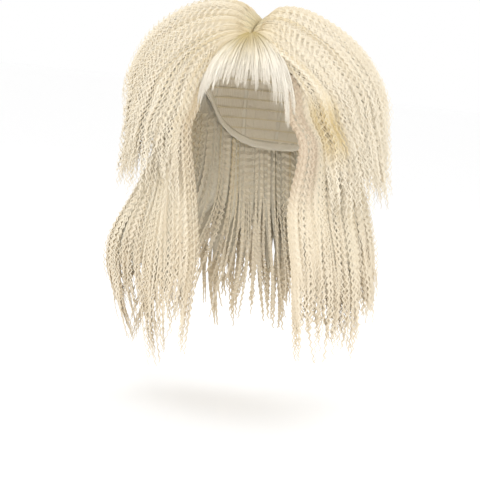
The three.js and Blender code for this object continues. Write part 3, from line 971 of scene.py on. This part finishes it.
# Fringe
fringe = {
    "seed": 5,
    "edge": 63,  # degrees from straight ahead
    "rootRadius": 0.009,
    "rootLift": 0.75,
    "thickness": 0.007,
    "bundles": 46,
    "strands": 26,
    "steps": 16,
    "strandWidth": 0.001,
    "strandHeight": 0.0006,
    "gather": (2.2, 0.5, 1.5),  # the width of a bundle at its root, and the range at its tips
    "wander": 1.3,
    "stray": 0.012,
    "lockReach": (0.96, 1.06, 0.2),  # the usual range, and how much further a few locks reach
    "ragged": 0.14,
    "pointed": 0.04,
    "temple": 0.05,  # how much lower the hem reaches beside the temples
    "longStrands": 34,
    "longReach": (1.05, 0.3),
    "longStray": 0.1,
    "longWidth": 0.65,
    "width": (0.6, 1.1),
    "tipWidth": 0.2,
    "tint": 0.0,
    "tintSpread": 0.0,
    "root": 0.95,
    "rootShade": 0.035,  # how far the golden painted shade at the root reaches
    "nodes": ["fringe_right_sweep", "fringe_centre", "fringe_left_lock"],
}
hem = {
    "at": [-1.0, -0.8, -0.55, 0.0, 0.55, 0.8, 1.0],
    "level": [0.99, 0.82, 0.7, 0.64, 0.66, 0.78, 0.99],
    "lift": [0.9, 1.0, 1.0, 0.8, 0.8, 1.0, 1.1],
    "flare": [0.2, 0.1, 0.0, 0.0, 0.15, 0.6, 1.2],
}


def fringePoints(at, t, reach, depth, radius):
    # t runs from the root to the hem; depth is 1 on the outside
    turn = np.radians(at * fringe["edge"])
    rootX = parting["x"] + radius * np.sin(turn)
    rootY = parting["front"] - radius * np.cos(turn)
    plane = flowPlane(rootX, rootY, at * fringe["edge"], 1)
    level = lookUp(hem, "level", at) * reach
    hemHeight = head["crown"] * (1 - np.minimum(level, 1))
    hemAngle = np.arccos(np.minimum(hemHeight / plane["height"], 1))
    hemShare = (hemAngle - plane["start"]) / (math.pi / 2 - plane["start"])
    drop = head["crown"] * np.maximum(level - 1, 0) * t**2
    full = hang["seat"] + fringe["thickness"] * lookUp(hem, "lift", at)
    lifted = full * mix(fringe["rootLift"], 1.0, np.sin(math.pi * np.clip(t, 0, 1)))
    stand = hang["cheek"] * lookUp(hem, "flare", at) * t**2
    outer = mix(lifted, hang["seat"] + hang["tip"], t**3)
    offset = stand + mix(hang["seat"], outer, depth)
    points, outward = offCap(plane, hemShare * t, drop, offset)
    return points, outward


def fringeGuides(rng):
    bundles = fringe["bundles"]
    count = bundles * fringe["strands"]
    bundle = np.repeat(np.arange(bundles), fringe["strands"])
    t = np.linspace(0, 1, fringe["steps"])[None, :]

    def each(low=0, high=1):
        return rng.uniform(low, high, count)[:, None]

    centre = (bundle[:, None] + 0.5) / bundles * 2 - 1
    centre = centre + spread(rng.uniform(-0.7, 0.7, bundles), bundle) / bundles
    aside = each(-1, 1)
    rootWide, tipLeast, tipMost = fringe["gather"]
    gather = mix(rootWide, spread(rng.uniform(tipLeast, tipMost, bundles), bundle), smooth(t, 0.3, 1.0))
    drift = spread(rng.normal(0, fringe["wander"], bundles), bundle) * t**1.5
    at = centre + (aside * gather + drift) / bundles
    at = at + rng.normal(0, fringe["stray"], count)[:, None] * t**2
    # A few locks reach lower than the rest, and every lock ends in a point
    least, most, further = fringe["lockReach"]
    lock = rng.uniform(least, most, bundles) + further * rng.uniform(0, 1, bundles) ** 3
    reach = 1 - fringe["ragged"] * each() ** 1.5 - fringe["pointed"] * np.abs(aside)
    reach = spread(lock, bundle) * reach
    reach = reach * (1 + fringe["temple"] * smooth(np.abs(at[:, -1:]), 0.55, 0.8))
    depth = each(0.4, 1.0)
    radius = each(0.1, 1.1) * fringe["rootRadius"]
    # Single strands reach further still
    single = np.arange(fringe["longStrands"]) * (count // fringe["longStrands"])
    isSingle = np.isin(np.arange(count), single)[:, None]
    longReach = fringe["longReach"][0] + fringe["longReach"][1] * each() ** 1.5
    reach = np.where(isSingle, longReach, reach)
    at = at + np.where(isSingle, rng.normal(0, fringe["longStray"], count)[:, None], 0) * t**2.5
    at = np.clip(at, -0.995, 0.995)
    points, outward = fringePoints(at, t, reach, depth, radius)
    away = alongLine(points)
    width = each(*fringe["width"]) * mix(1.0, fringe["tipWidth"], smooth(t, 0.5, 1.0))
    width = width * np.where(isSingle, fringe["longWidth"], 1)
    tint = fringe["tint"] + rng.normal(0, fringe["tintSpread"], count)[:, None] + 0 * away
    return points, {
        "crimpSide": 0 * outward,
        "outward": outward,
        "width": width,
        "pitch": np.ones_like(away),
        "tint": np.clip(tint, 0, 1),
        "rootShade": fringe["root"] * np.exp(-((away / fringe["rootShade"]) ** 2)),
    }


fringeInputs = {
    "Wave Length": 0.014,
    "Wave Depth": 0.0,
    "Strand Width": fringe["strandWidth"],
    "Strand Height": fringe["strandHeight"],
}
fringeTree = strandTree("fringeStrands", fringeInputs, fringeLook)
points, attributes = fringeGuides(np.random.default_rng(fringe["seed"]))
mesh = growStrands("fringe_strands", points, attributes, fringeTree, fringeInputs)
addPiece("fringe_strands", mesh, "fringe_hair", *fringe["nodes"])

fringeBase = {
    "columns": 49,
    "rows": 12,
    "side": 0.98,
    "reach": 0.82,
    "notch": 0.1,
    "outside": 0.45,  # share of the fringe's thickness
    "inside": 0.1,
    "tint": 0.5,
}


def fringeShell():
    at = np.linspace(-fringeBase["side"], fringeBase["side"], fringeBase["columns"])[None, :]
    t = np.linspace(0, fringeBase["reach"], fringeBase["rows"])[:, None]
    at, t = at + 0 * t, t + 0 * at
    reach = 1 - fringeBase["notch"] * np.abs(np.sin(at * 3 * math.pi))
    outside, _ = fringePoints(at, t, reach, fringeBase["outside"], fringe["rootRadius"])
    inside, _ = fringePoints(at, t, reach, fringeBase["inside"], fringe["rootRadius"])
    away = t * 0.06
    attributes = {"tint": fringeBase["tint"] + 0 * away, "rootShade": np.exp(-away / 0.02)}
    return closedShell("fringe_inner", outside, inside, attributes, fringeLook)


addPiece("fringe_inner", fringeShell(), "fringe_hair", *fringe["nodes"])
print("fringe combed", triangleCount(mesh))


# Cap
capNet = {
    "meshSize": 0.0016,
    "light": (0.86, 0.8, 0.68, 1),
    "dark": (0.74, 0.65, 0.5, 1),
    "relief": 0.0004,
    "elasticMesh": 0.0009,
    "elasticLight": (0.88, 0.83, 0.72, 1),
    "elasticDark": (0.76, 0.69, 0.55, 1),
    "elasticRelief": 0.0003,
    "band": 0.009,  # the elastic binding along the rim
    "bandThick": 0.001,
    "bandDepth": 0.0002,
    "ribbons": [42, 78, 112, 146, 180, 214, 248, 282, 318],
    "ribbonWidth": 0.006,
    "ribbonDepth": 0.0001,
    "ribbonFrom": 0.08,
    "ribbonEnd": 0.03,  # how far above the rim they end
}
wefts = {
    "rows": 11,  # sewn rows of hair
    "from": 0.16,
    "to": 1.42,
    "rimMargin": 0.08,
    "behind": 34,  # degrees from straight ahead
    "depth": 0.0012,
    "tint": 0.0,
    "rootShade": 0.35,
    "inputs": {"Wave Length": 0.004, "Wave Depth": 0.0007, "Strand Width": 0.0026, "Strand Height": 0.0014},
}
stitches = {
    "depth": 0.0013,
    "tint": 0.0,
    "rootShade": 0.2,
    "inputs": {"Wave Length": 0.006, "Wave Depth": 0.0045, "Strand Width": 0.0006, "Strand Height": 0.0006},
}
rim = {
    "at": [0, 28, 50, 66, 82, 102, 124, 150, 180],
    "drop": [0.5, 0.56, 0.86, 1.12, 0.9, 0.9, 1.3, 1.5, 1.54],
}


def rimDrop(azimuth):
    return lookUp(rim, "drop", 180 - np.abs(180 - azimuth))


def insideCap(azimuth, drop, depth):
    # A point depth inside the cap's inner face; drop is a share of the crown's height
    polar, turn = np.arccos(1 - drop), np.radians(azimuth)
    across = (head["width"] / 2 - depth) * np.sin(polar) * np.sin(turn)
    along = -(head["length"] / 2 - depth) * np.sin(polar) * np.cos(turn)
    height = (head["crown"] - depth) * np.cos(polar) - head["crown"]
    return np.stack([across + 0 * height, along + 0 * height, height + 0 * across], -1)


def clothMaterial(name, light, dark, spacing, distance):
    # A knitted net or elastic: two sets of fine threads that cross
    material, tree, shader = newMaterial(name)
    place = tree.nodes.new("ShaderNodeTexCoord").outputs["Object"]
    threads = []
    for direction in ("X", "Z"):
        wave = tree.nodes.new("ShaderNodeTexWave")
        wave.bands_direction = direction
        wave.inputs["Scale"].default_value = 0.314 / spacing
        wave.inputs["Distortion"].default_value = 0.8
        feed(tree, place, wave.inputs["Vector"])
        threads.append(wave.outputs["Fac"])
    net = maths(tree, "MAXIMUM", *threads)
    bump = tree.nodes.new("ShaderNodeBump")
    bump.inputs["Strength"].default_value = 0.4
    bump.inputs["Distance"].default_value = distance
    feed(tree, net, bump.inputs["Height"])
    feed(tree, mixColor(tree, net, dark, light), shader.inputs["Base Color"])
    feed(tree, bump.outputs["Normal"], shader.inputs["Normal"])
    shader.inputs["Roughness"].default_value = 0.85
    return material


def addTrim(name, mesh):
    piece = bpy.data.objects.new(name, mesh)
    bpy.context.scene.collection.objects.link(piece)
    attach(piece, "root")
    return triangleCount(mesh)


def flatBand(name, azimuth, drop, depth, material):
    outside = insideCap(azimuth, drop, depth)
    inside = insideCap(azimuth, drop, depth + capNet["bandThick"])
    return closedShell(name, outside, inside, {}, material)


def joinMeshes(name, meshes):
    work = bmesh.new()
    for mesh in meshes:
        work.from_mesh(mesh)
    joined = bpy.data.meshes.new(name)
    work.to_mesh(joined)
    work.free()
    joined.materials.append(meshes[0].materials[0])
    for mesh in meshes:
        bpy.data.meshes.remove(mesh)
    return joined


netLook = clothMaterial("capNet", capNet["light"], capNet["dark"], capNet["meshSize"], capNet["relief"])
elasticLook = clothMaterial(
    "capElastic",
    capNet["elasticLight"],
    capNet["elasticDark"],
    capNet["elasticMesh"],
    capNet["elasticRelief"],
)
cap = frame["nodes"]["cap"]
cap.data.materials.clear()
cap.data.materials.append(netLook)


def bindingMesh():
    around = np.linspace(0.3, 359.7, 181)[None, :]
    bandShare = np.linspace(1, 0, 4)[:, None] * capNet["band"] / head["crown"]
    drop = rimDrop(around) - bandShare
    return flatBand("cap_binding", around, drop, capNet["bandDepth"], elasticLook)


def ribbonMesh():
    # Each ribbon runs down the inside of the cap and keeps its width
    halfWidth = capNet["ribbonWidth"] / 2 / (head["length"] / 2)
    ribbons = []
    for azimuth in capNet["ribbons"]:
        drop = np.linspace(capNet["ribbonFrom"], rimDrop(azimuth) - capNet["ribbonEnd"], 24)[:, None]
        half = np.degrees(halfWidth / np.maximum(np.sin(np.arccos(1 - drop)), 0.3))
        turns = azimuth + half * np.array([[-1, 0, 1]])
        ribbons.append(flatBand("ribbon", turns, drop + 0 * half, capNet["ribbonDepth"], elasticLook))
    return joinMeshes("cap_ribbons", ribbons)


def weftGuides():
    # Each row runs round the head as far as the rim lets it
    lines, spots = [], np.arange(0, 360.5, 2.0)
    for drop in np.linspace(wefts["from"], wefts["to"], wefts["rows"]):
        inCap = rimDrop(spots) > drop + wefts["rimMargin"]
        inCap &= (spots > wefts["behind"]) & (spots < 360 - wefts["behind"])
        edges = np.flatnonzero(np.diff(np.concatenate([[0], inCap.astype(int), [0]])))
        for first, last in zip(edges[::2], edges[1::2] - 1):
            if last - first > 5:
                azimuth = np.linspace(spots[first], spots[last], 120)
                lines.append(insideCap(azimuth, drop, wefts["depth"]))
    return np.array(lines)


def stitchGuide():
    azimuth = np.linspace(0.6, 359.4, 361)
    middle = rimDrop(azimuth) - 0.5 * capNet["band"] / head["crown"]
    return insideCap(azimuth, middle, stitches["depth"])[None]


def sewnMesh(name, treeName, lines, inwards, values, material):
    # Threads along the lines, kinked up and down
    ones = np.ones(lines.shape[:2])
    attributes = {
        "crimpSide": np.stack([0 * ones, 0 * ones, ones], -1),
        "outward": inwards,
        "width": ones,
        "pitch": ones,
        "tint": values["tint"] * ones,
        "rootShade": values["rootShade"] * ones,
    }
    tree = strandTree(treeName, values["inputs"], material)
    return growStrands(name, lines, attributes, tree, values["inputs"])


capTriangles = addTrim("cap_binding", bindingMesh())
capTriangles += addTrim("cap_ribbons", ribbonMesh())
rows = weftGuides()
inwards = -rows / np.linalg.norm(rows, axis=-1, keepdims=True)
capTriangles += addTrim("cap_wefts", sewnMesh("cap_wefts", "sewnRows", rows, inwards, wefts, innerLook))
line = stitchGuide()
stitching = sewnMesh("cap_stitches", "zigzagStitch", line, -line, stitches, fringeLook)
capTriangles += addTrim("cap_stitches", stitching)
print("cap covered", capTriangles)


# Camera, light and floor
photoView = {
    "eye": Vector((0, -0.085, -0.112)),
    "eyePixel": (239.6, 122.6),
    "azimuth": math.radians(16),
    "elevation": math.radians(3),
    "roll": math.radians(5.6),
    "distance": 2.0,
    "metresPerPixel": 0.00118,
    "imageSize": 480,
    "sensor": 36,
}


def addCamera(view):
    azimuth, elevation, roll = view["azimuth"], view["elevation"], view["roll"]
    right = Vector((math.cos(azimuth), math.sin(azimuth), 0))
    level = math.cos(elevation)
    back = Vector((math.sin(azimuth) * level, -math.cos(azimuth) * level, math.sin(elevation)))
    up = back.cross(right)
    turnedRight = right * math.cos(roll) + up * math.sin(roll)
    turnedUp = up * math.cos(roll) - right * math.sin(roll)
    location = view["eye"] + back * view["distance"]
    # The camera looks at the middle of the frame, which is below the eye level
    below = (view["imageSize"] / 2 - view["eyePixel"][1]) * view["metresPerPixel"]
    tip = math.atan2(below, view["distance"])
    finalBack = back * math.cos(tip) + turnedUp * math.sin(tip)
    finalUp = finalBack.cross(turnedRight)
    data = bpy.data.cameras.new("camera")
    data.sensor_width = view["sensor"]
    data.lens = view["sensor"] * view["distance"] / (view["metresPerPixel"] * view["imageSize"])
    camera = bpy.data.objects.new("camera", data)
    turn = Matrix((turnedRight, finalUp, finalBack)).transposed()
    camera.matrix_world = Matrix.Translation(location) @ turn.to_4x4()
    bpy.context.scene.collection.objects.link(camera)
    bpy.context.scene.camera = camera


addCamera(photoView)

studio = {
    "floorLevel": -0.47,
    "floorHalf": 12.0,
    "floorColor": (0.995, 0.995, 0.995, 1),
    "skyColor": (1.0, 1.0, 1.0, 1),
    "skyStrength": 1.0,
    "key": {"place": (0.4, -1.9, 0.95), "size": 1.3, "power": 15.5},
    "fill": {"place": (-1.3, -1.6, 0.4), "size": 1.6, "power": 4.5},
    "rim": {"place": (0.3, 1.5, 1.3), "size": 1.2, "power": 8},
}


def addLight(name, light, aim):
    data = bpy.data.lights.new(name, "AREA")
    data.size = light["size"]
    data.energy = light["power"]
    lamp = bpy.data.objects.new(name, data)
    lamp.location = light["place"]
    lamp.rotation_euler = (Vector(aim) - Vector(light["place"])).to_track_quat("-Z", "Y").to_euler()
    bpy.context.scene.collection.objects.link(lamp)


for name in ("key", "fill", "rim"):
    addLight(name, studio[name], (0, 0, -0.15))


def addFloor():
    material, tree, shader = newMaterial("paleFloor")
    darker = [c * 0.99 for c in studio["floorColor"][:3]] + [1]
    cloud = tree.nodes.new("ShaderNodeTexNoise")
    cloud.inputs["Scale"].default_value = 4
    color = mixColor(tree, cloud.outputs["Fac"], studio["floorColor"], darker)
    feed(tree, color, shader.inputs["Base Color"])
    shader.inputs["Roughness"].default_value = 0.9
    half, level = studio["floorHalf"], studio["floorLevel"]
    corners = [(-half, -half, level), (half, -half, level), (half, half, level), (-half, half, level)]
    mesh = bpy.data.meshes.new("floor")
    mesh.from_pydata(corners, [], [(0, 1, 2, 3)])
    mesh.materials.append(material)
    floor = bpy.data.objects.new("floor", mesh)
    bpy.context.scene.collection.objects.link(floor)


addFloor()
world = bpy.data.worlds.new("studioSky")
world.use_nodes = True
world.node_tree.nodes["Background"].inputs["Color"].default_value = studio["skyColor"]
world.node_tree.nodes["Background"].inputs["Strength"].default_value = studio["skyStrength"]
bpy.context.scene.world = world
bpy.context.scene.view_settings.view_transform = "Standard"
print("camera, lights and floor placed")
